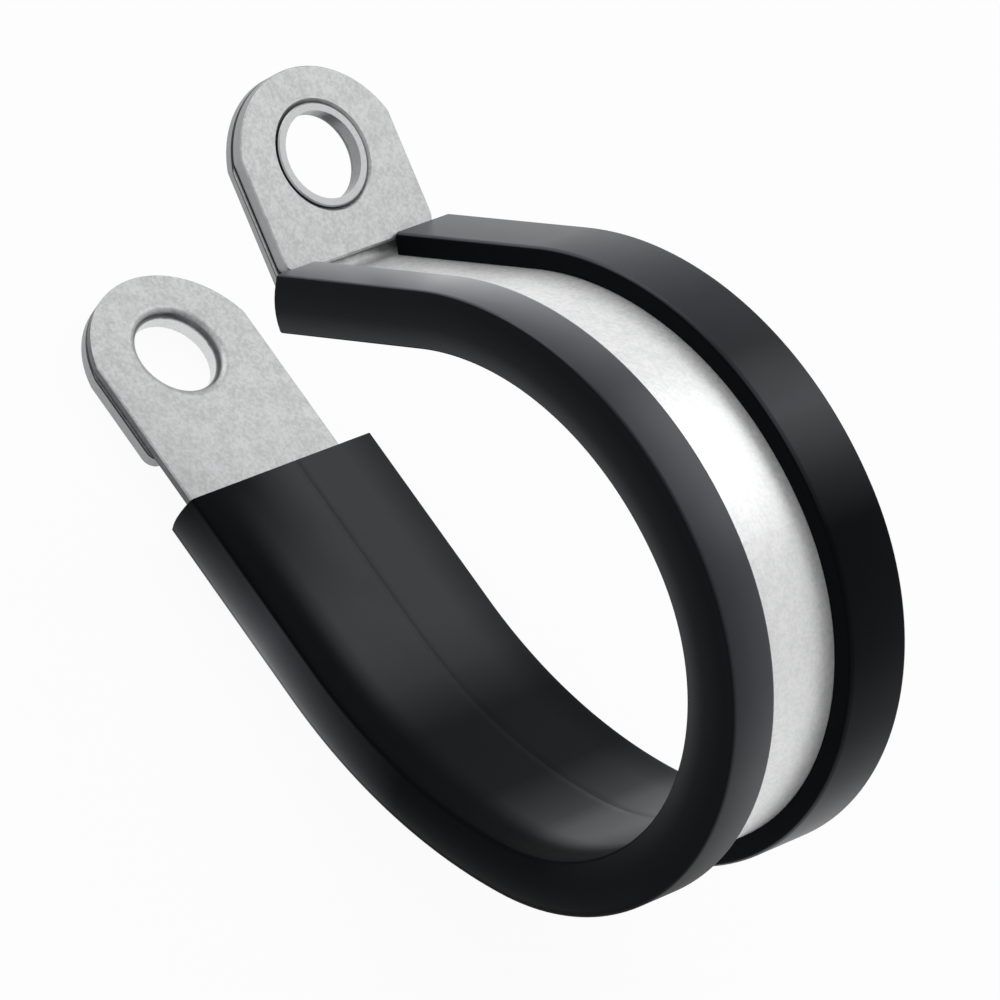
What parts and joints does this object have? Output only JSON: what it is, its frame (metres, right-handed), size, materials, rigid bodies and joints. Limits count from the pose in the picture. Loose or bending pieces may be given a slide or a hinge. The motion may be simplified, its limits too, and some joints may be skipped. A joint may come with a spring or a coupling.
{
  "type": "p clip",
  "caption": "Open steel P clip: a bent strip with a bolt-on ear at each end, a stiffening plate staked to each ear, and a black rubber channel lining the loop.",
  "frame": {"origin": "on the axis of the lower ear's bolt hole, in the outer face of the plate under that ear, which is the face that meets the mounting surface", "axes": "+Z away from the mounting surface, along the lower bolt hole; +X from the ears towards the loop; +Y along the axis of the loop and of the pipe or bundle that it holds"},
  "size_m": [0.0641, 0.018, 0.0435],
  "materials": {
    "galvanised_steel": "zinc coated, satin, finely mottled",
    "black_rubber": "extruded, smooth, soft sheen"
  },
  "bodies": {
    "root": {"steel_band": "galvanised_steel", "upper_ear_plate": "galvanised_steel", "lower_ear_plate": "galvanised_steel", "rubber_liner": "black_rubber"}
  },
  "joints": []
}
